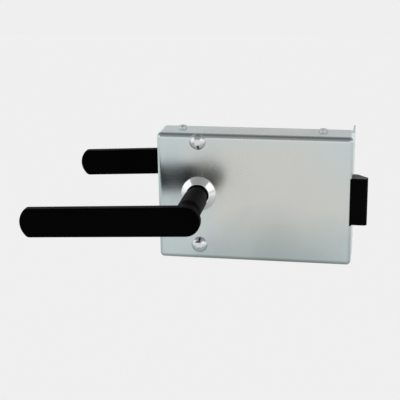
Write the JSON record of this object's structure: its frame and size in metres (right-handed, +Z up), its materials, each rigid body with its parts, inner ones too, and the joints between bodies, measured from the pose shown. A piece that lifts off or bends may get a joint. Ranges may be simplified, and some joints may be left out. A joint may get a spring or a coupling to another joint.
{
  "type": "fire door latch",
  "caption": "Surface-mounted fire door latch: folded steel case, lever handles on one spindle either side of the door, sprung bevelled latch bolt.",
  "frame": {"origin": "on the spindle axis, in the plane where the case's back meets the door face", "axes": "+X towards the latch bolt, +Y from the room into the door along the spindle, +Z up"},
  "size_m": [0.2681, 0.1815, 0.1102],
  "materials": {
    "zinc_sheet": "bright zinc-plated sheet, semi-gloss",
    "zinc_plate": "zinc-plated plate, satin",
    "bright_zinc": "turned and bright plated",
    "black_moulding": "fine-textured black moulding",
    "black_bolt": "black coated steel, satin",
    "nylon_bush": "natural nylon",
    "spring_steel": "oiled spring wire",
    "screw_zinc": "bright zinc-plated screw",
    "cast_hub": "sintered steel",
    "plain_steel": "turned steel"
  },
  "bodies": {
    "case": {"case_cover": "zinc_sheet", "back_plate": "zinc_plate", "pillar_upper": "plain_steel", "pillar_lower": "plain_steel", "dome_screw_upper": "screw_zinc", "dome_screw_lower": "screw_zinc", "edge_screws_top": "screw_zinc", "edge_screws_bottom": "screw_zinc", "front_collar": "bright_zinc", "collar_nut": "plain_steel", "rear_rose": "zinc_plate", "follower_bush": "nylon_bush", "stop_pins": "plain_steel", "spring_post": "plain_steel", "return_spring": "spring_steel", "bolt_spring": "spring_steel", "spring_abutment": "zinc_plate", "bolt_guide": "zinc_plate", "bracket_rivets": "plain_steel", "guide_stud": "plain_steel", "stud_clip": "plain_steel"},
    "handles": {"front_lever": "black_moulding", "rear_lever": "black_moulding", "front_lever_core": "plain_steel", "rear_lever_core": "plain_steel", "front_circlip": "plain_steel", "rear_circlip": "plain_steel", "front_washer": "black_moulding", "rear_washer": "black_moulding", "grub_screws": "plain_steel", "spindle": "plain_steel", "follower": "cast_hub"},
    "latch": {"bolt_head": "black_bolt", "bolt_tail": "zinc_plate", "bolt_rivets": "black_bolt", "spring_rod": "plain_steel"}
  },
  "joints": [
    {"name": "handle_turn", "type": "hinge", "parent": "case", "child": "handles", "pos_m": [0, 0, 0], "axis": [0, -1, 0], "range_deg": [0, 35], "stiffness_Nm_per_rad": 1.2, "springref_deg": -22.92, "deforming": ["return_spring"]},
    {"name": "latch_slide", "type": "slide", "parent": "case", "child": "latch", "axis": [-1, 0, 0], "range_m": [0, 0.012], "stiffness_N_per_m": 250, "springref_m": -0.012, "deforming": ["bolt_spring"]}
  ],
  "couplings": [
    {"joint": "latch_slide", "follows": "handle_turn", "m_per_rad": 0.019644}
  ]
}
